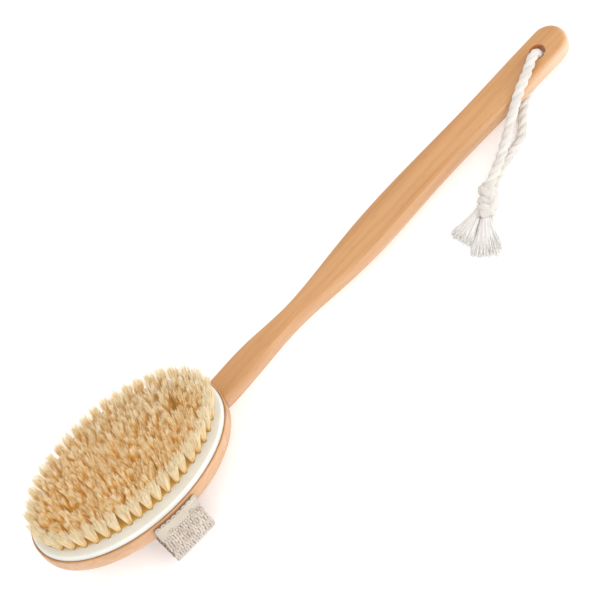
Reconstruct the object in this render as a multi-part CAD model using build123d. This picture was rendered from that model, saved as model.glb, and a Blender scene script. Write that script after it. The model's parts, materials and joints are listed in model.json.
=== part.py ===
"""Body dry brush: an oval head with a hand strap, a pull-off handle and a rope loop.

Everything but the rope is drawn in the head's own frame: its origin is the middle of the seam
between the wooden block and the bristle plate, +X runs towards the handle and +Z along the
bristles.  REST then lays the brush on its back, on the strap and the rope under the tip.
"""
from build123d import *
from math import cos, hypot, pi, radians, sin, tan
import os

# ---- resting place on the floor -------------------------------------------------------------
TILT = 7.8                      # degrees that the neck end of the head dips
REST_X, REST_Z = 3.7, 33.6      # where the head's origin lies above the strap's flat
REST = Location((REST_X, 0, REST_Z), (0, TILT, 0))

# ---- head -----------------------------------------------------------------------------------
BLOCK_A, BLOCK_B, BLOCK_T = 65.4, 38.4, 18.5     # half length, half width, thickness
BLOCK_ROUND, BLOCK_LIP = 11.5, 0.6               # edge radii at the back and at the seam
SEAM_OUT, SEAM_IN, SEAM_DEPTH = 0.55, 0.15, 0.7  # the shadow groove around the plate's foot
PLATE_A, PLATE_B, PLATE_T, PLATE_ROUND = 64.0, 37.0, 3.6, 1.4

# ---- tufts: half axes of each oval row and how many tufts stand in it --------------------------
ROWS = [(58.4, 29.5, 42), (51.4, 23.7, 35), (44.2, 17.9, 29),
        (36.4, 12.2, 23), (27.2, 6.5, 15), (14.2, 0.0, 5)]
TUFT_LENGTH, TUFT_FOOT_R, TUFT_TOP_R = 17.6, 1.25, 2.8
HOLE_R, HOLE_DEPTH = 1.35, 3.1
FAN_X, FAN_Y, LEAN_X = 7.0, 1.0, 3.0             # degrees: fanning out at the rim, leaning to the handle
ANCHOR = (2.2, 0.35, 1.1)                        # flat wire anchor in each hole's bottom

# ---- tongue and socket ------------------------------------------------------------------------
TONGUE_W, TONGUE_T, TONGUE_Z, TONGUE_TIP_X = 14.0, 6.0, -8.0, 12.5
FIT = 0.15                                       # clearance on every side of the tongue

# ---- handle: (x, half width) and (x, height of its middle) -------------------------------------
HANDLE_T, HANDLE_ROUND = 10.5, 3.3
PLAN = [(60, 8.75), (80, 8.75), (94, 8.2), (108, 7.1), (124, 6.4), (141, 7.4), (160, 9.3), (179, 10.7),
        (200, 11.05), (226, 10.5), (256, 10.0), (282, 10.2), (304, 10.8), (322, 10.9)]
SPINE = [(60, -8.0), (66, -7.6), (78, -5.7), (94, -3.2), (124, -0.8), (154, 2.0), (184, 6.2), (213, 10.8),
         (243, 14.5), (264, 16.5), (300, 19.7), (321, 22.0), (342, 24.4)]
TIP_R, TIP_X = 10.9, 340.0
EYE_X, EYE_Z, EYE_R, EYE_ROUND, EYE_LEAN = 321.0, 22.0, 4.5, 0.8, -6.3

# ---- hand strap ---------------------------------------------------------------------------------
STRAP_X0, STRAP_X1, STRAP_T = -13.0, 15.0, 2.0
STRAP_Y, STRAP_END_T = 38.45, 1.2                # inner face of its ends and their thickness
STRAP_TOP, STRAP_LEAVE, STRAP_BULGE = -2.6, -12.0, 47.3
STRAP_FLAT_Y = 33.0                              # half length of the part that lies on the floor
TAPE_T, TAPE_TOP, TAPE_BOTTOM, TAPE_SPARE = 0.8, -1.7, -12.4, 0.5
TACK_X, TACK_Z = (-6.5, 8.5), -9.2
TACK_R, TACK_HEAD_R, TACK_HEAD_H, TACK_LENGTH, TACK_GAP = 0.5, 1.3, 0.8, 9.0, 0.03
TAPE_SEAT_Y = STRAP_Y + STRAP_END_T + 0.02       # the tape lies just clear of the strap's end
TAPE_FACE_Y = TAPE_SEAT_Y + TAPE_T

# ---- rope: frame millimetres, from the knot over the handle, through the eye and back -----------
ROPE_D = 5.5
ROPE_ROUTE = [(247.5, -29.0, 8.6), (259.5, -24.6, 8.0), (272.0, -19.8, 8.6), (286.0, -15.6, 14.2),
              (299.5, -11.6, 21.3), (311.0, -5.6, 21.2), (326.2, 0.6, 20.6), (325.7, 0.8, 2.9),
              (312.0, -3.6, 2.8), (299.0, -9.0, 2.85), (286.5, -21.2, 2.8), (276.5, -26.3, 2.8),
              (262.5, -29.2, 2.85), (248.5, -34.2, 3.3)]
KNOT_AT, KNOT_LENGTH, KNOT_D, KNOT_TURN = (243.4, -34.9, 6.4), 18.4, 12.7, 32.0
TAIL_R = 2.7
TAILS = {"rope_tail_short": ((237.4, -34.4, 4.2), (219.6, -35.6, 2.6), 6.0),
         "rope_tail_long": ((238.8, -41.0, 4.2), (223.2, -56.2, 2.6), 8.0)}
TAIL_END_HALF_H = 2.4


def save(name, shape):
    export_step(shape, f"parts/{name}.step")


def save_in_head_frame(name, shape):
    save(name, shape.moved(REST))


def save_copies(name, shape, places):
    """One node that holds a separate copy of shape at each place of the head's frame."""
    save(name, Compound([shape.moved(REST * place) for place in places]))


def oval(half_length, half_width, z_low, z_high):
    return extrude(Plane.XY.offset(z_low) * Ellipse(half_length, half_width), z_high - z_low)


def block_shape(grow=0.0):
    """The block's outside, or the same shape standing off it by grow."""
    body = oval(BLOCK_A + grow, BLOCK_B + grow, -BLOCK_T - grow, grow)
    low = body.edges().sort_by(Axis.Z)[0]
    return fillet(low, BLOCK_ROUND + grow)


def tongue_shape(grow=0.0, tip_x=TONGUE_TIP_X, end_x=70.0):
    section = Plane((tip_x, 0, TONGUE_Z), x_dir=(0, 1, 0), z_dir=(1, 0, 0)) * RectangleRounded(
        TONGUE_W + 2 * grow, TONGUE_T + 2 * grow, TONGUE_T / 2 + grow - 0.01)
    return extrude(section, end_x - tip_x)


def tack_shape():
    """A domed tack whose head sits on y = 0 and whose shank points along -Y."""
    dome_r = (TACK_HEAD_R ** 2 + TACK_HEAD_H ** 2) / (2 * TACK_HEAD_H)
    with BuildSketch(Plane.XY) as half:
        with BuildLine():
            Polyline((0, -TACK_LENGTH), (0, TACK_HEAD_H))
            RadiusArc((0, TACK_HEAD_H), (TACK_HEAD_R, 0), dome_r)
            Polyline((TACK_HEAD_R, 0), (TACK_R, 0), (TACK_R, 1 - TACK_LENGTH), (0, -TACK_LENGTH))
        make_face()
    return revolve(half.sketch, Axis.Y).solid()


def tack_place(x, side):
    return Location((x, side * TAPE_FACE_Y, TACK_Z), (0, 0, 90 - 90 * side))


def tack_holes():
    """A cutter for each tack's hole, from its head's seat to just past its point."""
    depth = TACK_LENGTH + 2 * TACK_GAP
    drill = Cylinder(TACK_R + TACK_GAP, depth, rotation=(90, 0, 0))
    drill = drill.moved(Location((0, TACK_GAP - depth / 2, 0)))
    return [drill.moved(tack_place(x, side)) for x in TACK_X for side in (-1, 1)]


def head_block():
    body = block_shape()
    seam = body.edges().sort_by(Axis.Z)[-1]
    body = fillet(seam, BLOCK_LIP)
    groove = (oval(PLATE_A + SEAM_OUT, PLATE_B + SEAM_OUT, -SEAM_DEPTH, 0)
              - oval(PLATE_A - SEAM_IN, PLATE_B - SEAM_IN, -SEAM_DEPTH, 0))
    return body - groove - tongue_shape(FIT, TONGUE_TIP_X - FIT) - tack_holes()


def around_oval(a, b, count):
    """count points evenly spaced along an oval's outline, or along a line if b is 0."""
    if b == 0:
        return [(-a + 2 * a * i / (count - 1), 0.0) for i in range(count)]
    steps = 720
    points = [(a * cos(2 * pi * i / steps), b * sin(2 * pi * i / steps)) for i in range(steps + 1)]
    travelled = [0.0]
    for (x0, y0), (x1, y1) in zip(points, points[1:]):
        travelled.append(travelled[-1] + hypot(x1 - x0, y1 - y0))
    found = []
    for i in range(count):
        target = travelled[-1] * (i + 0.5) / count
        nearest = min(range(steps), key=lambda k: abs(travelled[k] - target))
        found.append(points[nearest])
    return found


def tuft_places(row):
    """A location at the plate's face for each tuft of a row, leaning outwards."""
    places = []
    for x, y in around_oval(*row):
        lean_x = LEAN_X + FAN_X * x / ROWS[0][0]
        lean_y = FAN_Y * y / ROWS[0][1]
        places.append(Location((x, y, PLATE_T), (-lean_y, lean_x, 0)))
    return places


def tuft_shape():
    """A bundle of bristles: a round stem in its hole that opens into a cone."""
    stem = HOLE_DEPTH - ANCHOR[2] - 0.2
    with BuildSketch(Plane.XZ) as half:
        with BuildLine():
            Polyline((0, -stem), (TUFT_FOOT_R, -stem), (TUFT_FOOT_R, 0.3), (TUFT_TOP_R, TUFT_LENGTH),
                     (0, TUFT_LENGTH), (0, -stem))
        make_face()
    return revolve(half.sketch, Axis.Z)


def anchor_shape():
    return Box(*ANCHOR).moved(Location((0, 0, -HOLE_DEPTH + ANCHOR[2] / 2 + 0.05)))


def bristle_plate():
    body = oval(PLATE_A, PLATE_B, 0, PLATE_T)
    body = fillet(body.edges().sort_by(Axis.Z)[-1], PLATE_ROUND)
    drill = Cylinder(HOLE_R, HOLE_DEPTH + 2).moved(Location((0, 0, 1 - HOLE_DEPTH / 2)))
    return body - [drill.moved(place) for row in ROWS for place in tuft_places(row)]


def floor_height(x):
    """The floor under the resting brush, in the head's frame."""
    return (x * sin(radians(TILT)) - REST_Z) / cos(radians(TILT))


def strap_section(x):
    """The strap cut across at x: its two ends, two bulges and the flat on the floor."""
    floor = floor_height(x)
    middle = (STRAP_LEAVE + floor) / 2 - 1.0
    outer_y = STRAP_Y + STRAP_END_T
    with BuildSketch(Plane((x, 0, 0), x_dir=(0, 1, 0), z_dir=(1, 0, 0))) as section:
        with BuildLine():
            Line((-STRAP_Y, STRAP_TOP), (-outer_y, STRAP_TOP))
            Line((-outer_y, STRAP_TOP), (-outer_y, STRAP_LEAVE))
            Spline((-outer_y, STRAP_LEAVE), (-STRAP_BULGE, middle), (-STRAP_FLAT_Y, floor),
                   tangents=((0, -1), (1, 0)))
            Line((-STRAP_FLAT_Y, floor), (STRAP_FLAT_Y, floor))
            Spline((STRAP_FLAT_Y, floor), (STRAP_BULGE, middle), (outer_y, STRAP_LEAVE),
                   tangents=((1, 0), (0, 1)))
            Line((outer_y, STRAP_LEAVE), (outer_y, STRAP_TOP))
            Line((outer_y, STRAP_TOP), (STRAP_Y, STRAP_TOP))
            Line((STRAP_Y, STRAP_TOP), (STRAP_Y, STRAP_LEAVE))
            Spline((STRAP_Y, STRAP_LEAVE), (STRAP_BULGE - STRAP_T, middle),
                   (STRAP_FLAT_Y, floor + STRAP_T), tangents=((0, -1), (-1, 0)))
            Line((STRAP_FLAT_Y, floor + STRAP_T), (-STRAP_FLAT_Y, floor + STRAP_T))
            Spline((-STRAP_FLAT_Y, floor + STRAP_T), (-STRAP_BULGE + STRAP_T, middle),
                   (-STRAP_Y, STRAP_LEAVE), tangents=((-1, 0), (0, 1)))
            Line((-STRAP_Y, STRAP_LEAVE), (-STRAP_Y, STRAP_TOP))
        make_face()
    return section.sketch.face()


def hand_strap():
    body = loft([strap_section(STRAP_X0), strap_section(STRAP_X1)], ruled=True)
    return body - tack_holes()


def strap_tape(side):
    """The woven tape that covers one end of the strap."""
    width = STRAP_X1 - STRAP_X0 + 2 * TAPE_SPARE
    middle_x = (STRAP_X0 + STRAP_X1) / 2
    middle_y = side * (TAPE_SEAT_Y + TAPE_T / 2)
    body = Box(width, TAPE_T, TAPE_TOP - TAPE_BOTTOM)
    body = body.moved(Location((middle_x, middle_y, (TAPE_TOP + TAPE_BOTTOM) / 2)))
    return body - tack_holes()


def handle():
    """A shaped and gently bent board with rounded edges, a tongue and a hanging eye."""
    tip_centre = TIP_X - TIP_R
    with BuildSketch(Plane.XY.offset(-40)) as plan:
        with BuildLine():
            Spline(*PLAN, tangents=((1, 0), (1, 0)))
            Line(PLAN[-1], (tip_centre, TIP_R))
            ThreePointArc((tip_centre, TIP_R), (TIP_X, 0), (tip_centre, -TIP_R))
            Line((tip_centre, -TIP_R), (PLAN[-1][0], -PLAN[-1][1]))
            Spline(*[(x, -y) for x, y in reversed(PLAN)], tangents=((-1, 0), (-1, 0)))
            Line((PLAN[0][0], -PLAN[0][1]), PLAN[0])
        make_face()
    upper = [(x, z + HANDLE_T / 2) for x, z in SPINE]
    lower = [(x, z - HANDLE_T / 2) for x, z in reversed(SPINE)]
    with BuildSketch(Plane((0, 0, 0), x_dir=(1, 0, 0), z_dir=(0, -1, 0))) as side:
        with BuildLine():
            Spline(*upper)
            Line(upper[-1], lower[0])
            Spline(*lower)
            Line(lower[-1], upper[0])
        make_face()
    body = extrude(plan.sketch, 90) & extrude(side.sketch, 20, both=True)
    neck_x = PLAN[0][0]
    # every long edge and the tip's; not the square ones at the neck, which end inside the block
    rims = [edge for edge in body.edges()
            if edge.bounding_box().size.X > 1 or abs(edge.center().X - neck_x) > 1]
    rims = [edge for edge in rims if edge.bounding_box().size.Z < HANDLE_T * 0.9 or
            edge.bounding_box().size.X > 60]
    body = fillet(rims, HANDLE_ROUND)
    body = body - block_shape(FIT)
    drill = Cylinder(EYE_R, 30).moved(Location((EYE_X, 0, EYE_Z), (0, EYE_LEAN, 0)))
    body = body - drill
    eye = [edge for edge in body.edges() if abs(edge.center().X - EYE_X) < 2 * EYE_R
           and edge.bounding_box().size.Y < 2.2 * EYE_R and edge.bounding_box().size.X < 2.4 * EYE_R]
    body = fillet(eye, EYE_ROUND)
    return body + tongue_shape()


def corner_radii(points):
    """The largest arcs that the runs beside each corner allow."""
    radii = []
    for a, b, c in zip(points, points[1:], points[2:]):
        run_in, run_out = Vector(b) - Vector(a), Vector(c) - Vector(b)
        turn = radians(run_in.get_angle(run_out))
        radii.append(0.45 * min(run_in.length, run_out.length) / tan(turn / 2))
    return radii


def rope_loop():
    radii = corner_radii(ROPE_ROUTE)
    print("rope corner radii", [round(r, 1) for r in radii])
    path = FilletPolyline(*ROPE_ROUTE, radius=radii)
    start = Plane(origin=path @ 0, z_dir=path % 0)
    body = sweep(start * Circle(ROPE_D / 2), path=path)
    expected = pi * ROPE_D ** 2 / 4 * path.length
    print(f"rope length {path.length:.1f} mm, volume {body.volume:.0f} of {expected:.0f} mm3")
    return body


def rope_knot():
    """An egg as large as the tied knot, turned into the rope's line."""
    whole = Plane.XZ * Ellipse(KNOT_LENGTH / 2, KNOT_D / 2)
    lower_half = Plane.XZ * Pos(0, -KNOT_D / 2) * Rectangle(2 * KNOT_LENGTH, KNOT_D)
    return revolve(whole - lower_half, Axis.X).moved(Location(KNOT_AT, (0, 0, KNOT_TURN)))


def rope_tail(root, end, half_width):
    """A frayed end: round where it leaves the knot, wide and flat at its tip."""
    direction = Vector(end) - Vector(root)
    across = Vector(-direction.Y, direction.X, 0).normalized()
    first = Plane(origin=root, x_dir=across, z_dir=direction) * Circle(TAIL_R)
    last = Plane(origin=end, x_dir=across, z_dir=direction) * Ellipse(half_width, TAIL_END_HALF_H)
    return loft([first.face(), last.face()])


def main():
    os.makedirs("parts", exist_ok=True)
    save_in_head_frame("head_block", head_block())
    save_in_head_frame("bristle_plate", bristle_plate())
    for number, row in enumerate(ROWS, 1):
        save_copies(f"tufts_row_{number}", tuft_shape(), tuft_places(row))
        save_copies(f"anchors_row_{number}", anchor_shape(), tuft_places(row))
    save_in_head_frame("hand_strap", hand_strap())
    for name, side in (("near", -1), ("far", 1)):
        save_in_head_frame(f"strap_tape_{name}", strap_tape(side))
        save_copies(f"strap_tacks_{name}", tack_shape(), [tack_place(x, side) for x in TACK_X])
    save_in_head_frame("handle", handle())
    save("rope_loop", rope_loop())
    save("rope_knot", rope_knot())
    for name, (root, end, half_width) in TAILS.items():
        save(name, rope_tail(root, end, half_width))


main()
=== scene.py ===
"""Body dry brush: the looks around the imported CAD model.

Everything is in metres in the model's own frame.  Sizes on the head are written in millimetres in
the head's frame (seam between block and bristle plate at z = 0, +X to the handle) and go through
HEAD, which the pull-off joint's axis tilts as the brush lies on the floor.
"""
import json
import math
import random

import bpy
import numpy as np
from mathutils import Matrix, Vector


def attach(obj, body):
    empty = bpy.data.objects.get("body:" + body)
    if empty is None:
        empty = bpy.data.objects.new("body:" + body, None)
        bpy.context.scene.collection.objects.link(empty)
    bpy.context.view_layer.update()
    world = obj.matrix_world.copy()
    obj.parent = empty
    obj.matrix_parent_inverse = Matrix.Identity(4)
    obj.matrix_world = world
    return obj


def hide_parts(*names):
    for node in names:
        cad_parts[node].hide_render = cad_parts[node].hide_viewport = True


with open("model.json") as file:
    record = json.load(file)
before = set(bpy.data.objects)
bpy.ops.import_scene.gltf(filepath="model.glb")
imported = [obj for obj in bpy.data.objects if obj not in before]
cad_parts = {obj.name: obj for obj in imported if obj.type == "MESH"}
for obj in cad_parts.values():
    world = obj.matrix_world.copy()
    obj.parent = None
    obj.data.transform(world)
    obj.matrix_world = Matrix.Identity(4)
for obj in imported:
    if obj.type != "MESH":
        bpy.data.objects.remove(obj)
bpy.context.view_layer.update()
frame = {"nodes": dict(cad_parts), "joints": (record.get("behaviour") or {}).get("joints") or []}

MM = 0.001

# ---- the head's frame ---------------------------------------------------------------------------
PULL_OFF = next(joint for joint in frame["joints"] if joint["name"] == "handle_pull_off")
TILT = math.atan2(-PULL_OFF["axis"][2], PULL_OFF["axis"][0])
REST_X, REST_Z = 3.7, 33.6
HEAD = (Matrix.Translation(Vector((REST_X, 0, REST_Z)) * MM)
        @ Matrix.Rotation(TILT, 4, "Y") @ Matrix.Scale(MM, 4))

# ---- head and bristles, millimetres ---------------------------------------------------------------
BLOCK_A, BLOCK_B = 65.4, 38.4
PLATE_TOP = 3.6
ROWS = [(58.4, 29.5, 42), (51.4, 23.7, 35), (44.2, 17.9, 29),
        (36.4, 12.2, 23), (27.2, 6.5, 15), (14.2, 0.0, 5)]
TUFT_LENGTH, EDGE_FOOT_R, INNER_FOOT_R = 17.6, 1.0, 1.25
EDGE_TOP_R, INNER_TOP_R = 3.7, 4.1      # how far the tufts of the outer row and of the others open out
FAN_X, FAN_Y, LEAN_X = math.radians(7.0), math.radians(1.0), math.radians(3.0)
EDGE_BRISTLES, INNER_BRISTLES = 165, 150  # in each tuft
BRISTLE_R, BRISTLE_TAPER = 0.19, 0.6
ROOT_DEPTH = 0.6                         # how far the bristles start below the plate's face

# ---- strap, millimetres -----------------------------------------------------------------------------
STRAP_X0, STRAP_X1 = -13.6, 14.4
STRAP_TOP, STRAP_LEAVE, STRAP_FLAT_Y, STRAP_BULGE = -2.6, -12.0, 33.0, 46.3
STRAP_LIFT, STRAP_STANDOFF = 0.95, 0.65  # its mid line above the floor and out from the block's edge
WALES, COURSE = 9, 2.35                  # knitted columns across, and the pitch of the rows
TAPE_X0, TAPE_X1, TAPE_TOP, TAPE_BOTTOM = STRAP_X0 - 0.6, STRAP_X1 + 0.7, -1.9, -12.6
TAPE_STANDOFF, TAPE_T = 1.35, 0.85       # its inner face out from the block's edge, and its thickness
TACK_X, TACK_Z = (-6.5, 8.5), -9.2

# ---- rope ---------------------------------------------------------------------------------------------
EYE_AT = (HEAD @ Vector((321.0, 0.0, 22.0))).to_tuple()
ROPE_D, ROPE_LAY = 5.5 * MM, 17 * MM
ROPE_ROUTE = [(247.5, -32.0, 8.6), (259.5, -27.6, 8.2), (272.0, -21.8, 8.6), (286.0, -16.0, 14.2),
              (299.5, -11.9, 21.3), (310.6, -7.4, 20.9), (324.4, -0.9, 21.6), (324.4, -0.6, 2.7),
              (312.0, -3.6, 2.8), (299.0, -7.5, 2.85), (284.5, -22.4, 2.8), (274.3, -23.6, 2.8),
              (261.4, -26.0, 2.85), (249.0, -31.0, 3.0)]
KNOT_AT, KNOT_TURN = Vector((243.4, -34.9, 6.4)), math.radians(32.0)
TAILS = {"rope_tail_short": ((237.6, -35.0, 4.2), (219.8, -37.0, 2.6), 7.6),
         "rope_tail_long": ((237.8, -39.9, 4.2), (222.3, -54.8, 2.6), 9.3)}
STRAY_THREADS = [[(240.0, -42.5, 5.0), (237.2, -45.6, 2.6), (233.3, -50.6, 1.6), (233.8, -54.0, 0.6),
                  (234.9, -56.4, 0.4)],
                 [(239.0, -43.5, 4.5), (234.0, -49.5, 3.2), (228.0, -55.6, 1.6), (224.5, -62.0, 0.6)]]


# =================================== small helpers ===================================================
def head(x, y, z):
    """A point given in the head's millimetres, in metres of the model's frame."""
    return HEAD @ Vector((x, y, z))


class Builder:
    """Gathers vertices, faces and per-vertex values, and makes one piece of them."""

    def __init__(self):
        self.verts, self.faces, self.values = [], [], {"along": [], "tint": []}

    def add(self, verts, faces, along, tint):
        first = len(self.verts)
        self.verts.extend(verts)
        self.faces.extend([tuple(first + i for i in face) for face in faces])
        self.values["along"].extend(along)
        self.values["tint"].extend([tint] * len(verts))

    def piece(self, name, body, material, replaced=()):
        mesh = bpy.data.meshes.new(name)
        mesh.from_pydata([tuple(v) for v in self.verts], [], self.faces)
        for key, values in self.values.items():
            mesh.attributes.new(key, "FLOAT", "POINT").data.foreach_set("value", values)
        mesh.materials.append(material)
        mesh.shade_smooth()
        mesh.validate()
        obj = bpy.data.objects.new(name, mesh)
        bpy.context.scene.collection.objects.link(obj)
        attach(obj, body)
        if replaced:
            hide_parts(*replaced)
        return obj


def ring_faces(rings, sides):
    """Quads between successive rings of a tube, and one face over each end."""
    faces = []
    for r in range(rings - 1):
        for s in range(sides):
            a, b = r * sides + s, r * sides + (s + 1) % sides
            faces.append((a, b, b + sides, a + sides))
    faces.append(tuple(reversed(range(sides))))
    faces.append(tuple((rings - 1) * sides + s for s in range(sides)))
    return faces


def slab_faces(across, down):
    """The faces of a slab whose points are two grids, all of the inner face and then all of the outer."""
    faces, layer, width = [], (across + 1) * (down + 1), across + 1
    for j in range(down):
        for i in range(across):
            a = j * width + i
            faces.append((a, a + width, a + width + 1, a + 1))
            faces.append((layer + a, layer + a + 1, layer + a + width + 1, layer + a + width))
    rim = list(range(width)) + [j * width + across for j in range(1, down + 1)]
    rim += [down * width + i for i in range(across - 1, -1, -1)] + [j * width for j in range(down - 1, 0, -1)]
    for a, b in zip(rim, rim[1:] + rim[:1]):
        faces.append((a, b, b + layer, a + layer))
    return faces


def moving_frames(points):
    """A normal and a binormal at each point that don't spin about the line."""
    points = [Vector(p) for p in points]
    tangents = []
    for i in range(len(points)):
        before, after = points[max(i - 1, 0)], points[min(i + 1, len(points) - 1)]
        tangents.append((after - before).normalized())
    side = tangents[0].orthogonal().normalized()
    frames = []
    for tangent in tangents:
        side = (side - tangent * side.dot(tangent)).normalized()
        frames.append((side.copy(), tangent.cross(side)))
    return points, frames


def lengths_along(points):
    """How far along the line each point lies."""
    total, out = 0.0, [0.0]
    for a, b in zip(points, points[1:]):
        total += (Vector(b) - Vector(a)).length
        out.append(total)
    return out


def resample(points, step):
    """The same line with points a step apart."""
    points = [Vector(p) for p in points]
    travelled = lengths_along(points)
    count = max(2, int(travelled[-1] / step) + 1)
    out, k = [], 0
    for i in range(count):
        target = travelled[-1] * i / (count - 1)
        while k < len(points) - 2 and travelled[k + 1] < target:
            k += 1
        span = travelled[k + 1] - travelled[k]
        out.append(points[k].lerp(points[k + 1], (target - travelled[k]) / span if span else 0))
    return out


def nurbs_line(points):
    """The smooth line of a NURBS spline whose control points are given, in metres."""
    curve = bpy.data.curves.new("route", "CURVE")
    curve.dimensions = "3D"
    spline = curve.splines.new("NURBS")
    spline.points.add(len(points) - 1)
    for point, place in zip(spline.points, points):
        point.co = (*place, 1)
    spline.order_u = 3
    spline.use_endpoint_u = True
    spline.resolution_u = 16
    obj = bpy.data.objects.new("route", curve)
    bpy.context.scene.collection.objects.link(obj)
    mesh = bpy.data.meshes.new_from_object(obj)
    line = [v.co.copy() for v in mesh.vertices]
    bpy.data.objects.remove(obj)
    bpy.data.curves.remove(curve)
    bpy.data.meshes.remove(mesh)
    return line


def add_strand(builder, points, frames, centre_r, strand_r, turns_at, phase, tint, sides=16, lobes=5):
    """One twisted strand of a rope: a lobed tube that winds about the rope's line."""
    verts, along = [], []
    for i, (point, (n, b)) in enumerate(zip(points, frames)):
        angle = turns_at[i] + phase
        out = n * math.cos(angle) + b * math.sin(angle)
        centre = point + out * centre_r
        for s in range(sides):
            turn = 2 * math.pi * s / sides
            lobe = 1 + 0.07 * math.cos(lobes * turn + 2.6 * turns_at[i])
            radius = strand_r * lobe
            verts.append(centre + (n * math.cos(turn) + b * math.sin(turn)) * radius)
            along.append(i / (len(points) - 1))
    builder.add(verts, ring_faces(len(points), sides), along, tint)


def add_rope(builder, points, diameter, lay, start_turn=0.0, groove=0.19, tints=(0.0, 0.1, 0.2)):
    """Three strands laid about a line; groove is how far each one's middle stands out, in diameters."""
    points, frames = moving_frames(points)
    travelled = lengths_along(points)
    turns_at = [start_turn + 2 * math.pi * t / lay for t in travelled]
    for k, tint in enumerate(tints):
        add_strand(builder, points, frames, groove * diameter, (0.51 - groove) * diameter,
                   turns_at, 2 * math.pi * k / len(tints), tint)


# =================================== materials ========================================================
def new_material(name):
    material = bpy.data.materials.new(name)
    material.use_nodes = True
    tree = material.node_tree
    return material, tree, tree.nodes["Principled BSDF"]


def node(tree, kind, **values):
    made = tree.nodes.new(kind)
    for key, value in values.items():
        if hasattr(made, key):
            setattr(made, key, value)
        else:
            made.inputs[key.replace("_", " ")].default_value = value
    return made


def stretched_noise(tree, scale, noise_scale, detail=4.0, roughness=0.55, tilt=0.0):
    """Noise in the piece's own place, drawn out along X."""
    place = node(tree, "ShaderNodeTexCoord")
    mapping = node(tree, "ShaderNodeMapping")
    mapping.inputs["Rotation"].default_value = (0, tilt, 0)
    mapping.inputs["Scale"].default_value = scale
    noise = node(tree, "ShaderNodeTexNoise", Scale=noise_scale, Detail=detail, Roughness=roughness)
    tree.links.new(place.outputs["Object"], mapping.inputs["Vector"])
    tree.links.new(mapping.outputs["Vector"], noise.inputs["Vector"])
    return noise


def ramp(tree, source, stops):
    made = node(tree, "ShaderNodeValToRGB")
    elements = made.color_ramp.elements
    while len(elements) < len(stops):
        elements.new(0.5)
    for element, (position, colour) in zip(elements, stops):
        element.position = position
        element.color = (*colour, 1)
    tree.links.new(source, made.inputs["Fac"])
    return made


def mixed(tree, factor, a, b, blend="MIX"):
    made = node(tree, "ShaderNodeMix", data_type="RGBA", blend_type=blend)
    for socket, value in ((made.inputs[0], factor), (made.inputs[6], a), (made.inputs[7], b)):
        if isinstance(value, (int, float)):
            socket.default_value = value
        elif isinstance(value, tuple):
            socket.default_value = (*value, 1)
        else:
            tree.links.new(value, socket)
    return made.outputs[2]


def bump(tree, shader, height, strength, distance):
    made = node(tree, "ShaderNodeBump", Strength=strength, Distance=distance)
    tree.links.new(height, made.inputs["Height"])
    tree.links.new(made.outputs["Normal"], shader.inputs["Normal"])


def beech():
    """Clear satin beech: broad tone bands, fine streaks and short dark pores along the grain, with painted
    light on the sides and the tip and painted shade in the eye.
    """
    material, tree, shader = new_material("beech")
    bands = stretched_noise(tree, (3, 60, 60), 1.0, 3.0)
    streaks = stretched_noise(tree, (8, 420, 420), 1.0, 4.0)
    pores = stretched_noise(tree, (140, 2600, 2600), 1.0, 1.0)
    base = ramp(tree, bands.outputs["Fac"], [(0.32, (0.505, 0.248, 0.092)), (0.5, (0.565, 0.29, 0.112)),
                                             (0.7, (0.61, 0.335, 0.142))])
    fine = ramp(tree, streaks.outputs["Fac"], [(0.35, (0.86, 0.80, 0.74)), (0.6, (1.0, 1.0, 1.0))])
    fleck = ramp(tree, pores.outputs["Fac"], [(0.66, (1.0, 1.0, 1.0)), (0.74, (0.72, 0.56, 0.42))])
    # painted light: the sides of the block and handle take this paler colour, for the key and floor light
    # that falls on them
    edge = ramp(tree, bands.outputs["Fac"], [(0.35, (0.55, 0.325, 0.185)), (0.65, (0.66, 0.42, 0.265))])
    colour = mixed(tree, painted_side_light_mask(tree), base.outputs["Color"], edge.outputs["Color"])
    # painted light: the sides of the handle's tip are painted paler, where the key light falls on them
    colour = mixed(tree, painted_tip_light(tree), colour, (0.82, 0.60, 0.44))
    colour = mixed(tree, 0.75, colour, fine.outputs["Color"], "MULTIPLY")
    colour = mixed(tree, 0.55, colour, fleck.outputs["Color"], "MULTIPLY")
    # painted shade: the wall of the eye is painted dark red, for the shade and the bounced light inside the
    # hole
    colour = mixed(tree, painted_eye_shade(tree), colour, (0.60, 0.22, 0.05))
    tree.links.new(colour, shader.inputs["Base Color"])
    rough = ramp(tree, streaks.outputs["Fac"], [(0.3, (0.50, 0.50, 0.50)), (0.7, (0.38, 0.38, 0.38))])
    tree.links.new(rough.outputs["Color"], shader.inputs["Roughness"])
    shader.inputs["Coat Weight"].default_value = 0.15
    shader.inputs["Coat Roughness"].default_value = 0.3
    bump(tree, shader, streaks.outputs["Fac"], 0.12, 0.0002)
    return material


def painted_eye_shade(tree):
    """1 on the bored wall of the hanging eye, painted darker and redder for the shade and the light bounced
    off the wood in the hole, and 0 elsewhere.
    """
    place = node(tree, "ShaderNodeTexCoord")
    flat = node(tree, "ShaderNodeMapping")
    flat.inputs["Scale"].default_value = (1, 1, 0)
    reach = node(tree, "ShaderNodeVectorMath", operation="DISTANCE")
    reach.inputs[1].default_value = (EYE_AT[0], EYE_AT[1], 0)
    wall = node(tree, "ShaderNodeMapRange")
    for name, value in (("From Min", 4.6 * MM), ("From Max", 5.0 * MM), ("To Min", 1.0), ("To Max", 0.0)):
        wall.inputs[name].default_value = value
    tree.links.new(place.outputs["Object"], flat.inputs["Vector"])
    tree.links.new(flat.outputs["Vector"], reach.inputs[0])
    tree.links.new(reach.outputs["Value"], wall.inputs["Value"])
    return wall.outputs["Result"]


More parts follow.
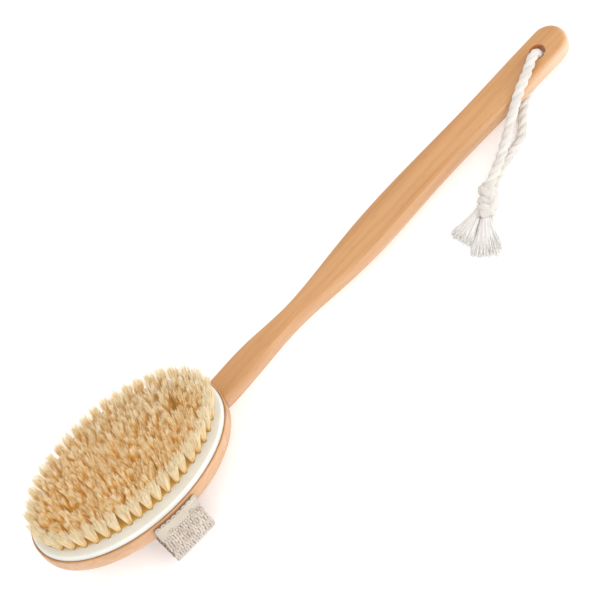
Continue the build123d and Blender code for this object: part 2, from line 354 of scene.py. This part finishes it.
def painted_tip_light(tree):
    """Rises to about 0.8 on the edges of the handle's tip, where painted light makes them paler, and 0
    elsewhere.
    """
    place = node(tree, "ShaderNodeTexCoord")
    split = node(tree, "ShaderNodeSeparateXYZ")
    tree.links.new(place.outputs["Object"], split.inputs[0])
    near = node(tree, "ShaderNodeMapRange")
    for name, value in (("From Min", 290 * MM), ("From Max", 335 * MM), ("To Min", 0.0), ("To Max", 1.3)):
        near.inputs[name].default_value = value
    both = node(tree, "ShaderNodeMath", operation="MULTIPLY")
    tree.links.new(split.outputs["X"], near.inputs["Value"])
    tree.links.new(near.outputs["Result"], both.inputs[0])
    tree.links.new(painted_side_light_mask(tree), both.inputs[1])
    return both.outputs[0]


def painted_side_light_mask(tree):
    """0 on faces that look up or down, rising to 0.6 on the board's edges, where light is painted to make the
    sides paler.
    """
    geometry = node(tree, "ShaderNodeNewGeometry")
    split = node(tree, "ShaderNodeSeparateXYZ")
    tree.links.new(geometry.outputs["Normal"], split.inputs[0])
    size = node(tree, "ShaderNodeMath", operation="ABSOLUTE")
    tree.links.new(split.outputs["Z"], size.inputs[0])
    away = node(tree, "ShaderNodeMapRange")
    for name, value in (("From Min", 0.25), ("From Max", 0.95), ("To Min", 0.6), ("To Max", 0.0)):
        away.inputs[name].default_value = value
    tree.links.new(size.outputs[0], away.inputs["Value"])
    return away.outputs["Result"]


def cream_plate():
    """Satin cream plate with a faint mottle, painted amber where the tufts stand, for the light and shade
    that the bristles filter onto it.
    """
    material, tree, shader = new_material("cream_plate")
    cloud = stretched_noise(tree, (60, 60, 60), 1.0, 3.0)
    grain = stretched_noise(tree, (900, 900, 900), 1.0, 2.0)
    base = ramp(tree, cloud.outputs["Fac"], [(0.3, (0.69, 0.695, 0.64)), (0.7, (0.74, 0.745, 0.69))])
    place = node(tree, "ShaderNodeTexCoord")
    tufted = node(tree, "ShaderNodeMapping")
    # Generated runs 0 to 1 over the plate; scaled so the tufted oval has radius 1 about the middle
    tufted.inputs["Scale"].default_value = (2.17, 2.46, 0)
    tufted.inputs["Location"].default_value = (-1.085, -1.23, 0)
    oval = node(tree, "ShaderNodeTexGradient", gradient_type="SPHERICAL")
    tree.links.new(place.outputs["Generated"], tufted.inputs["Vector"])
    tree.links.new(tufted.outputs["Vector"], oval.inputs["Vector"])
    # painted light and shade: amber inside the tufted oval, for light filtered through the bristles
    painted_glow_mask = ramp(tree, oval.outputs["Fac"], [(0.0, (0, 0, 0)), (0.03, (1, 1, 1))])
    painted_glow = mixed(tree, painted_glow_mask.outputs["Color"], base.outputs["Color"], (0.68, 0.47, 0.13))
    tree.links.new(painted_glow, shader.inputs["Base Color"])
    rough = ramp(tree, cloud.outputs["Fac"], [(0.3, (0.48, 0.48, 0.48)), (0.7, (0.40, 0.40, 0.40))])
    tree.links.new(rough.outputs["Color"], shader.inputs["Roughness"])
    bump(tree, shader, grain.outputs["Fac"], 0.08, 0.0001)
    return material


def attribute(tree, name):
    """A value that the builder stored at each vertex."""
    made = node(tree, "ShaderNodeAttribute")
    made.attribute_name = name
    return made.outputs["Fac"]


def bristle():
    """Natural bristle: amber by the plate, straw in the middle and cream at the split tips; the amber low in
    the tuft is partly the bristle's own tone and partly painted shade.
    """
    material, tree, shader = new_material("bristle")
    along = attribute(tree, "along")
    # the low end of this ramp is partly the bristle's own amber and partly painted shade for the depths of
    # the tufts
    hair = ramp(tree, along, [
        (0.0, (0.55, 0.24, 0.025)), (0.35, (0.80, 0.43, 0.075)), (0.6, (0.90, 0.59, 0.19)),
        (0.82, (0.98, 0.76, 0.38)), (1.0, (1.0, 0.94, 0.79))])
    tint = ramp(tree, attribute(tree, "tint"), [
        (0.0, (0.66, 0.44, 0.19)), (0.4, (0.92, 0.78, 0.52)),
        (0.7, (1.0, 0.97, 0.88)), (1.0, (1.0, 1.0, 1.0))])
    colour = mixed(tree, 1.0, hair.outputs["Color"], tint.outputs["Color"], "MULTIPLY")
    tree.links.new(colour, shader.inputs["Base Color"])
    # stands in for light scattered inside the tuft, which thin opaque tubes cannot carry
    glow = ramp(tree, along, [
        (0.0, (0.46, 0.27, 0.03)), (0.5, (0.44, 0.27, 0.045)),
        (0.75, (0.26, 0.185, 0.07)), (1.0, (0.15, 0.125, 0.085))])
    tree.links.new(glow.outputs["Color"], shader.inputs["Emission Color"])
    shader.inputs["Emission Strength"].default_value = 0.36
    shader.inputs["Roughness"].default_value = 0.42
    shader.inputs["Sheen Weight"].default_value = 0.15
    return material


def yarn(name, low, high, scale=1400.0, sheen=0.35, tints=((0.92, 0.92, 0.92), (1.0, 1.0, 1.0))):
    """Soft cotton: uneven tone and a fine fibre bump."""
    material, tree, shader = new_material(name)
    cloud = stretched_noise(tree, (160, 160, 160), 1.0, 3.0)
    fibre = stretched_noise(tree, (scale, scale * 2.2, scale * 2.2), 1.0, 3.0)
    base = ramp(tree, cloud.outputs["Fac"], [(0.3, low), (0.7, high)])
    tint = ramp(tree, attribute(tree, "tint"), [(0.0, tints[0]), (1.0, tints[1])])
    colour = mixed(tree, 1.0, base.outputs["Color"], tint.outputs["Color"], "MULTIPLY")
    tree.links.new(colour, shader.inputs["Base Color"])
    shader.inputs["Roughness"].default_value = 0.85
    shader.inputs["Sheen Weight"].default_value = sheen
    bump(tree, shader, fibre.outputs["Fac"], 0.35, 0.00025)
    return material


def tack_metal():
    """Dull brass with uneven wear."""
    material, tree, shader = new_material("tack_metal")
    wear = stretched_noise(tree, (1500, 1500, 1500), 1.0, 2.0)
    base = ramp(tree, wear.outputs["Fac"], [(0.3, (0.44, 0.35, 0.24)), (0.7, (0.56, 0.46, 0.33))])
    rough = ramp(tree, wear.outputs["Fac"], [(0.3, (0.5, 0.5, 0.5)), (0.7, (0.32, 0.32, 0.32))])
    tree.links.new(base.outputs["Color"], shader.inputs["Base Color"])
    tree.links.new(rough.outputs["Color"], shader.inputs["Roughness"])
    shader.inputs["Metallic"].default_value = 0.6
    return material


def steel_wire():
    """Bare grey wire, for the anchors."""
    material, tree, shader = new_material("steel_wire")
    wear = stretched_noise(tree, (2500, 2500, 2500), 1.0, 2.0)
    base = ramp(tree, wear.outputs["Fac"], [(0.3, (0.42, 0.41, 0.39)), (0.7, (0.60, 0.59, 0.56))])
    tree.links.new(base.outputs["Color"], shader.inputs["Base Color"])
    shader.inputs["Metallic"].default_value = 1.0
    shader.inputs["Roughness"].default_value = 0.4
    return material


def wear_material(material, *nodes):
    """Gives CAD nodes their material."""
    for name in nodes:
        obj = frame["nodes"][name]
        obj.data.materials.clear()
        obj.data.materials.append(material)


# =================================== bristles =========================================================
def around_oval(a, b, count):
    """count points evenly spaced along an oval's outline, or along a line if b is 0."""
    if b == 0:
        return [(-a + 2 * a * i / (count - 1), 0.0) for i in range(count)]
    steps = 720
    turns = [2 * math.pi * i / steps for i in range(steps + 1)]
    points = [(a * math.cos(turn), b * math.sin(turn)) for turn in turns]
    travelled = [0.0]
    for (x0, y0), (x1, y1) in zip(points, points[1:]):
        travelled.append(travelled[-1] + math.hypot(x1 - x0, y1 - y0))
    found = []
    for i in range(count):
        target = travelled[-1] * (i + 0.5) / count
        nearest = min(range(steps), key=lambda k: abs(travelled[k] - target))
        found.append(points[nearest])
    return found


def add_bristle(builder, root, middle, tip, radius, tint, fade, pale=0.0, sides=3, rings=4):
    """A thin tapering hair bent through three points; it starts at pale, and fade sets how soon it pales."""
    verts, along = [], []
    for r in range(rings):
        t = r / (rings - 1)
        centre = root * (1 - t) ** 2 + middle * (2 * t * (1 - t)) + tip * t * t
        size = radius * (1 - BRISTLE_TAPER * t)
        for s in range(sides):
            turn = 2 * math.pi * s / sides + tint * 6
            verts.append(HEAD @ (centre + Vector((math.cos(turn) * size, math.sin(turn) * size, 0))))
            along.append(pale + (1 - pale) * t ** fade)
    builder.add(verts, ring_faces(rings, sides), along, tint)


def tuft_place(x, y):
    """Where the tuft with its foot at (x, y) stands, in the head's millimetres."""
    lean = (Matrix.Rotation(LEAN_X + FAN_X * x / ROWS[0][0], 4, "Y")
            @ Matrix.Rotation(-FAN_Y * y / ROWS[0][1], 4, "X"))
    return Matrix.Translation(Vector((x, y, PLATE_TOP))) @ lean


def turned(angle, size=1.0):
    return Vector((math.cos(angle), math.sin(angle), 0)) * size


def scattered(rng, size):
    return Vector((rng.gauss(0, size), rng.gauss(0, size), 0))


def add_edge_tuft(builder, rng, x, y):
    """A tuft of the outer row: a neat cone that opens to a flat, slightly domed top."""
    place = tuft_place(x, y)
    far = max(0, y / ROWS[0][1])                           # the far side is slimmer and rougher
    untidy, top_r = 0.25 + 0.6 * far, EDGE_TOP_R - 0.9 * far
    sway = scattered(rng, 0.22)
    height = TUFT_LENGTH * (1 + rng.gauss(0, 0.012))
    for _ in range(EDGE_BRISTLES):
        reach = math.sqrt(rng.random())
        side = turned(rng.uniform(0, 2 * math.pi), reach)
        root = side * EDGE_FOOT_R + Vector((0, 0, -ROOT_DEPTH))
        tip = side * top_r + sway + scattered(rng, untidy * (1 + 3 * (rng.random() < 0.06)))
        tip.z = height * (1 + rng.gauss(0, 0.13 * untidy)) - 0.7 * reach ** 2
        middle = root.lerp(tip, 0.5) + side * 0.1 + scattered(rng, 0.08)
        # painted light: tufts of the outer row, the near ones most, start pale and turn cream soon, as they
        # stand lit in the open
        add_bristle(builder, place @ root, place @ middle, place @ tip, BRISTLE_R, rng.uniform(0.3, 1),
                    0.28 + 0.5 * far, 0.55 - 0.4 * far)


def add_inner_tuft(builder, rng, x, y, spread=1.0):
    """A tuft of the field: it splits near its top into clumps that lean and splay their own way."""
    place = tuft_place(x, y)
    sway = scattered(rng, 0.9)
    height = TUFT_LENGTH * (1 + rng.gauss(0, 0.016))
    # painted light: the tufts towards the handle and the far side are painted paler, for the light that
    # reaches them there
    paler = max(0, min(1, (x / ROWS[0][0] + y / ROWS[0][1]) / 1.2))    # towards the handle and the far side
    first = rng.uniform(0, 2 * math.pi)
    count, top_r = rng.choice((3, 4, 5)), INNER_TOP_R * spread
    clumps = []
    for k in range(count):
        angle = first + 2 * math.pi * (k + rng.uniform(-0.2, 0.2)) / count
        place_in_top = turned(angle, top_r * rng.uniform(0.5, 0.95))
        clumps.append((place_in_top, rng.gauss(0, 0.8), rng.uniform(0.25, 0.6), rng.uniform(0.25, 0.95)))
    for _ in range(INNER_BRISTLES):
        side = turned(rng.uniform(0, 2 * math.pi), math.sqrt(rng.random()))
        root = side * INNER_FOOT_R + Vector((0, 0, -ROOT_DEPTH))
        clump, lift, pull, shade = min(clumps, key=lambda c: (c[0] - side * top_r).length)
        tip = (side * top_r).lerp(clump, pull) + sway + scattered(rng, 0.5)
        if rng.random() < 0.1:
            tip += scattered(rng, 1.3)
        tip.z = height * (1 + rng.gauss(0, 0.06)) + lift - 0.05 * tip.xy.length_squared
        middle = root.lerp(tip, 0.5) + side * 0.1 + scattered(rng, 0.3)
        # painted shade: these tufts keep amber further up their length than the outer row, for the shade deep
        # in the field
        add_bristle(builder, place @ root, place @ middle, place @ tip, BRISTLE_R,
                    max(0, min(1, rng.gauss(shade, 0.35))), 1.3 - 0.8 * paler, 0.3 * paler)


def bristle_rows(material):
    """One piece of bristles for each oval row, each row with its own seed."""
    for number, row in enumerate(ROWS, 1):
        rng = random.Random(40 + number)
        builder = Builder()
        for x, y in around_oval(*row):
            if number == 1:
                add_edge_tuft(builder, rng, x, y)
            else:
                # the two middle rows stand further apart, so their tufts open wider
                add_inner_tuft(builder, rng, x, y, 1.3 if number >= 5 else 1.0)
        builder.piece(f"bristles_row_{number}", "head", material, [f"tufts_row_{number}"])


# =================================== hand strap =======================================================
def floor_height(x):
    """The floor's height in the head's frame, which is tilted."""
    return (x * math.sin(TILT) - REST_Z) / math.cos(TILT)


def hermite(p0, p1, m0, m1, t):
    """The point at t on the cubic from p0 to p1 that leaves along m0 and arrives along m1."""
    a, b = 2 * t ** 3 - 3 * t ** 2 + 1, t ** 3 - 2 * t ** 2 + t
    c, d = -2 * t ** 3 + 3 * t ** 2, t ** 3 - t ** 2
    return tuple(a * u + b * v + c * w + d * q for u, v, w, q in zip(p0, m0, p1, m1))


def block_edge(x):
    """The block's half width at x."""
    return BLOCK_B * math.sqrt(1 - (x / BLOCK_A) ** 2)


def strap_half(x, steps=26):
    """The strap's mid line at x, as (y, z) from the middle of its flat to its end on the +Y side."""
    floor = floor_height(x) + STRAP_LIFT
    end_y = block_edge(x) + STRAP_STANDOFF
    middle = (STRAP_LEAVE + floor) / 2 - 1.0
    line = [(STRAP_FLAT_Y * i / 14, floor) for i in range(14)]
    out = (STRAP_BULGE, middle)
    for i in range(steps):
        line.append(hermite((STRAP_FLAT_Y, floor), out, (22, 0), (0, 17), i / steps))
    for i in range(steps):
        line.append(hermite(out, (end_y, STRAP_LEAVE), (0, 17), (0, 10), i / steps))
    for i in range(8):
        line.append((end_y, STRAP_LEAVE + (STRAP_TOP - STRAP_LEAVE) * i / 7))
    return line


def strap_surface():
    """Mid surface of the strap as rows of points along it, one row for each fine station across."""
    stations = []
    for k in range(WALES * 2 + 1):
        x = STRAP_X0 + (STRAP_X1 - STRAP_X0) * k / (WALES * 2)
        half = strap_half(x)
        line = [(x, -y, z) for y, z in reversed(half[1:])] + [(x, y, z) for y, z in half]
        stations.append(line)
    return stations


def strap_sampler():
    """The strap's length, and a function of (share across, share along) that gives the place there, the
    outward normal and the directions along and across the strap."""
    stations = strap_surface()
    lines = []
    for line in stations:
        lines.append(resample([Vector(p) for p in line], lengths_along(line)[-1] / 400)[:401])
    length = lengths_along(lines[len(lines) // 2])[-1]
    table = np.array([[tuple(p) for p in line[:400]] for line in lines])

    def at(u, v):
        i = min(max(u, 0), 1) * (table.shape[0] - 1)
        j = min(max(v, 0), 1) * (table.shape[1] - 1)
        i0, j0 = min(int(i), table.shape[0] - 2), min(int(j), table.shape[1] - 2)
        fi, fj = i - i0, j - j0
        p = ((table[i0, j0] * (1 - fj) + table[i0, j0 + 1] * fj) * (1 - fi)
             + (table[i0 + 1, j0] * (1 - fj) + table[i0 + 1, j0 + 1] * fj) * fi)
        along = Vector(table[i0, j0 + 1] - table[i0, j0]).normalized()
        across = Vector(table[i0 + 1, j0] - table[i0, j0]).normalized()
        return Vector(p), along.cross(across).normalized(), along, across
    return at, length


def add_leg(builder, at, ends, side_out, radius, tint, sides=7, rings=7):
    """One short plump stretch of yarn between two (across, along) places on the strap."""
    (u0, v0), (u1, v1) = ends
    verts, along = [], []
    for r in range(rings):
        t = r / (rings - 1)
        place, normal, forward, across = at(u0 + (u1 - u0) * t, v0 + (v1 - v0) * t)
        swell = math.sin(math.pi * (0.08 + 0.84 * t))
        centre = place + normal * (side_out * (0.45 + 0.42 * swell))
        direction = forward * (v1 - v0) * 60 + across * (u1 - u0) * 28
        sideways = direction.cross(normal).normalized()
        for s in range(sides):
            turn = 2 * math.pi * s / sides
            size = radius * (0.45 + 0.55 * swell)
            offset = sideways * math.cos(turn) * size + normal * math.sin(turn) * size * 0.8
            verts.append(HEAD @ (centre + offset))
            along.append(t)
    builder.add(verts, ring_faces(rings, sides), along, tint)


def hand_strap(material):
    """The knitted band: a thin backing, with raised stitches outside and crosswise yarns inside."""
    rng = random.Random(7)
    at, length = strap_sampler()
    builder = Builder()
    across, down = WALES * 4, 200
    verts, along = [], []
    for side in (-0.5, 0.5):
        for j in range(down + 1):
            for i in range(across + 1):
                place, normal, _, _ = at(i / across, j / down)
                verts.append(HEAD @ (place + normal * side))
                along.append(j / down)
    builder.add(verts, slab_faces(across, down), along, 0.0)
    courses = int(length / COURSE)
    wale, course = 1 / WALES, 1 / courses
    for k in range(WALES):
        phase = rng.uniform(0, 6)
        for j in range(courses):
            wander = 0.13 * math.sin(2 * math.pi * j / 2.7 + phase) + rng.gauss(0, 0.03)
            u, v = (k + 0.5 + wander) * wale, (j + 0.5 + rng.gauss(0, 0.06)) * course
            tint = rng.uniform(0.6, 1.0)
            for hand in (-1, 1):
                foot = (u + hand * wale * 0.12, v - course * 0.62)
                top = (u + hand * wale * 0.36, v + course * 0.62)
                add_leg(builder, at, (foot, top), 1, 0.83, tint + rng.uniform(-0.15, 0.0), sides=8)
            left, right = (u - wale * 0.45, v), (u + wale * 0.45, v)
            add_leg(builder, at, (left, right), -1, 0.6, tint * 0.8, sides=6, rings=5)
    return builder.piece("knitted_strap", "head", material, ["hand_strap"])


def woven_tape(name, side, material):
    """The tape over one end of the strap: a woven patch with rounded edges and a picot upper edge."""
    rng = random.Random(11 if side < 0 else 12)
    across, down = 150, 56
    verts, along = [], []
    for face in (0, 1):
        for j in range(down + 1):
            for i in range(across + 1):
                s, t = i / across, j / down
                x, z = TAPE_X0 + (TAPE_X1 - TAPE_X0) * s, TAPE_TOP + (TAPE_BOTTOM - TAPE_TOP) * t
                edge = min(1.0, 8 * min(s, 1 - s, 0.6 * t + 0.004, 0.6 * (1 - t) + 0.004) + 0.25)
                weave = math.sin(2 * math.pi * x / 0.8) * math.sin(2 * math.pi * z / 0.8)
                pucker = sum(math.exp(-((x - tack) ** 2 + (z - TACK_Z) ** 2) / 4) for tack in TACK_X)
                out = TAPE_T * math.sqrt(1 - (1 - edge) ** 2) + 0.03 * weave - 0.22 * pucker
                y = block_edge(x) + TAPE_STANDOFF + (out if face else 0) + 0.25 * math.sin(5 * s + 2 * t)
                verts.append(head(x, side * y, z))
                along.append(t)
    faces = slab_faces(across, down)
    if side > 0:
        faces = [tuple(reversed(face)) for face in faces]
    builder = Builder()
    builder.add(verts, faces, along, 0.9)
    teeth = 8
    for k in range(teeth):
        middle_x = TAPE_X0 + (TAPE_X1 - TAPE_X0) * (k + 0.5) / teeth + rng.uniform(-0.15, 0.15)
        points = []
        for i in range(11):
            angle = math.pi * i / 10
            x = middle_x + 1.35 * math.cos(angle)
            z = TAPE_TOP - 0.35 + 1.45 * math.sin(angle)
            points.append(head(x, side * (block_edge(x) + 1.7), z))
        add_round_yarn(builder, points, 0.42 * MM, 0.95)
    stitches = 16
    for k in range(stitches):
        start = TAPE_X0 + (TAPE_X1 - TAPE_X0) * (k + 0.2) / stitches
        points = []
        for i in range(6):
            out = 2.2 + 0.22 * math.sin(math.pi * i / 5)
            points.append(head(start + 1.1 * i / 5, side * (block_edge(start) + out), TAPE_BOTTOM + 1.1))
        add_round_yarn(builder, points, 0.22 * MM, 1.0)
    replaced = "strap_tape_near" if side < 0 else "strap_tape_far"
    return builder.piece(name, "head", material, [replaced])


def add_round_yarn(builder, points, radius, tint, sides=6):
    """A plain round thread along a line."""
    points, frames = moving_frames(points)
    verts, along = [], []
    for i, (point, (n, b)) in enumerate(zip(points, frames)):
        for s in range(sides):
            turn = 2 * math.pi * s / sides
            verts.append(point + (n * math.cos(turn) + b * math.sin(turn)) * radius)
            along.append(i / (len(points) - 1))
    builder.add(verts, ring_faces(len(points), sides), along, tint)


# =================================== rope =============================================================
def knot_place():
    """The knot's own millimetres, +X along the rope to the handle's tip, in the model's frame."""
    return Matrix.Translation(KNOT_AT * MM) @ Matrix.Rotation(KNOT_TURN, 4, "Z") @ Matrix.Scale(MM, 4)


def slanted_turn(place, at, slant, start, end, width, height, side=0.0, count=40):
    """Part of a turn about the knot's long axis; slant moves it along that axis from side to side."""
    points = []
    for i in range(count):
        angle = math.radians(start + (end - start) * i / (count - 1))
        points.append(place @ Vector((at - slant * math.sin(angle), side - width * math.sin(angle),
                                      height * math.cos(angle))))
    return points


def rope_knot(material):
    """The knot's visible turns and the crossing between them, as separate lengths of rope on a core."""
    place = knot_place()
    builder = Builder()
    slanting = slanted_turn(place, 3.4, 2.8, -170, 190, 4.3, 3.7, -0.7)
    middle = slanted_turn(place, -1.2, 0.8, -150, 150, 2.9, 3.6, -0.4)
    lower = slanted_turn(place, -5.2, 0.8, -160, 200, 3.3, 3.5, -1.6)
    crossing = [place @ Vector(p) for p in
                ((9.0, 2.0, -0.5), (8.2, 0.2, 2.0), (5.1, -3.4, 2.8), (0.9, -5.6, 2.7), (-3.9, -5.4, 2.2),
                 (-6.6, -3.2, 1.8), (-7.8, 0.2, 0.6))]
    core = [place @ Vector(p) for p in
            ((10.5, 0.6, -1.0), (4, -0.4, -0.6), (-3, 0.4, -0.4), (-9.4, 0.6, -1.4))]
    step = 0.6 * MM
    add_rope(builder, resample(slanting, step), 5.4 * MM, 30 * MM, 0.4, 0.15)
    add_rope(builder, resample(middle, step), 4.8 * MM, 26 * MM, 0.2, 0.15)
    add_rope(builder, resample(lower, step), 4.8 * MM, 26 * MM, 1.4, 0.15)
    add_rope(builder, resample(nurbs_line(crossing), step), 5.9 * MM, 30 * MM, 0.9, 0.13)
    add_rope(builder, resample(nurbs_line(core), step), 6.4 * MM, ROPE_LAY, 1.0)
    return builder.piece("rope_knot_laid", "rope", material, ["rope_knot"])


def rope_tail(name, material, seed, root, end, half_width, threads=700):
    """A frayed rope end: loose threads that fan out over the floor."""
    rng = random.Random(seed)
    root, end = Vector(root) * MM, Vector(end) * MM
    forward = end - root
    across = Vector((-forward.y, forward.x, 0)).normalized()
    builder = Builder()
    for _ in range(threads):
        angle, reach = rng.uniform(0, 2 * math.pi), math.sqrt(rng.uniform(0, 1))
        start = root + (across * math.cos(angle) + Vector((0, 0, math.sin(angle)))) * (2.3 * MM * reach)
        start -= forward.normalized() * rng.uniform(0.5, 3.0) * MM
        spread = half_width * math.cos(angle) * reach * (1.0 + rng.gauss(0, 0.06))
        rise = 1.7 * math.sin(angle) * reach + rng.gauss(0, 0.2)
        tip = end + across * spread * MM + Vector((0, 0, rise * MM)) + forward * rng.gauss(-0.05, 0.08)
        points, wave, phase = [], rng.uniform(0.15, 0.5) * MM, rng.uniform(0, 6)
        for i in range(12):
            t = i / 11
            point = start.lerp(tip, t) - across * (spread * MM * 0.55 * (t - t ** 1.8))
            point += across * (wave * math.sin(phase + 7 * t) * t)
            arch = 0.9 * MM * math.sin(math.pi * t) * math.sin(angle) * 0.4
            point += Vector((0, 0, arch + wave * math.cos(phase + 5 * t) * t))
            point.z = max(point.z, 0.35 * MM)
            points.append(point)
        # painted light: the loose threads get a higher tint than the laid strands, to offset the shade that
        # falls between them
        add_round_yarn(builder, points, rng.uniform(0.2, 0.3) * MM, rng.uniform(0.5, 0.8), sides=4)
    return builder.piece(name + "_frayed", "rope", material, [name])


def rope(material):
    """The loop along its route, its knot, the two frayed ends and a few loose threads."""
    route = [Vector(p) * MM for p in ROPE_ROUTE]
    line = nurbs_line(route)
    builder = Builder()
    fine = resample(line, 0.5 * MM)
    add_rope(builder, fine, ROPE_D, ROPE_LAY)
    loop = builder.piece("rope_laid", "rope", material, ["rope_loop"])
    knot = rope_knot(material)
    tails = [rope_tail(name, material, seed, *shape) for seed, (name, shape) in enumerate(TAILS.items(), 3)]
    stray = Builder()
    for points in STRAY_THREADS:
        add_round_yarn(stray, nurbs_line([Vector(p) * MM for p in points]), 0.26 * MM, 0.9)
    tails.append(stray.piece("stray_threads", "rope", material))


# =================================== studio ===========================================================
CAMERA_AT = Vector((66.8, -771.7, 1254.7)) * MM
CAMERA_AZIMUTH, CAMERA_ELEVATION = math.radians(-5.03), math.radians(57.84)
CAMERA_ROLL = math.radians(-43.03)
CAMERA_LENS, SENSOR = 159.6, 36.0


def camera():
    forward = Vector((-math.sin(CAMERA_AZIMUTH) * math.cos(CAMERA_ELEVATION),
                      math.cos(CAMERA_AZIMUTH) * math.cos(CAMERA_ELEVATION), -math.sin(CAMERA_ELEVATION)))
    level = forward.cross(Vector((0, 0, 1))).normalized()
    above = level.cross(forward)
    right = level * math.cos(CAMERA_ROLL) + above * math.sin(CAMERA_ROLL)
    up = right.cross(forward)
    data = bpy.data.cameras.new("camera")
    data.lens, data.sensor_width = CAMERA_LENS, SENSOR
    data.clip_start, data.clip_end = 0.05, 20
    obj = bpy.data.objects.new("camera", data)
    obj.matrix_world = Matrix((right, up, -forward)).transposed().to_4x4()
    obj.location = CAMERA_AT
    bpy.context.scene.collection.objects.link(obj)
    bpy.context.scene.camera = obj


def area_light(name, place, aim, size, power):
    data = bpy.data.lights.new(name, "AREA")
    data.shape, data.size, data.energy = "SQUARE", size, power
    obj = bpy.data.objects.new(name, data)
    obj.location = place
    obj.rotation_euler = (Vector(aim) - Vector(place)).to_track_quat("-Z", "Y").to_euler()
    bpy.context.scene.collection.objects.link(obj)


def studio():
    """One large soft light, white surroundings and a white floor."""
    camera()
    aim = Vector((0.14, 0, 0.02))
    area_light("key", aim + Vector((0.5, -1.0, 0.95)), aim, 1.3, 10.0)
    world = bpy.data.worlds.new("studio")
    world.use_nodes = True
    world.node_tree.nodes["Background"].inputs["Color"].default_value = (1, 1, 1, 1)
    world.node_tree.nodes["Background"].inputs["Strength"].default_value = 1.04
    bpy.context.scene.world = world
    bpy.context.scene.view_settings.view_transform = "Standard"
    mesh = bpy.data.meshes.new("floor")
    half = 3.0
    corners = [(-half, -half, 0), (half, -half, 0), (half, half, 0), (-half, half, 0)]
    mesh.from_pydata(corners, [], [(0, 1, 2, 3)])
    floor = bpy.data.objects.new("floor", mesh)
    floor.location.z = -0.0002
    material, _, shader = new_material("floor_white")
    shader.inputs["Base Color"].default_value = (0.93, 0.93, 0.93, 1)
    shader.inputs["Emission Color"].default_value = (1, 1, 1, 1)
    # the floor gives off a little light, like a light table, which keeps the shadows faint
    shader.inputs["Emission Strength"].default_value = 0.22
    shader.inputs["Roughness"].default_value = 0.9
    mesh.materials.append(material)
    bpy.context.scene.collection.objects.link(floor)


# =================================== everything =======================================================
wood = beech()
wear_material(wood, "head_block", "handle")
wear_material(cream_plate(), "bristle_plate")
wear_material(tack_metal(), "strap_tacks_near", "strap_tacks_far")
wear_material(steel_wire(), *[f"anchors_row_{n}" for n in range(1, len(ROWS) + 1)])
studio()
rope(yarn("cotton_rope", (0.86, 0.84, 0.80), (0.92, 0.90, 0.87),
          tints=((0.70, 0.675, 0.645), (1.0, 1.0, 1.0))))
bristle_rows(bristle())
hand_strap(yarn("strap_knit", (0.555, 0.482, 0.42), (0.67, 0.607, 0.535),
                tints=((0.72, 0.64, 0.59), (1.0, 1.0, 1.0))))
tape_cloth = yarn("strap_tape", (0.457, 0.395, 0.315), (0.535, 0.468, 0.38))
woven_tape("woven_tape_near", -1, tape_cloth)
woven_tape("woven_tape_far", 1, tape_cloth)
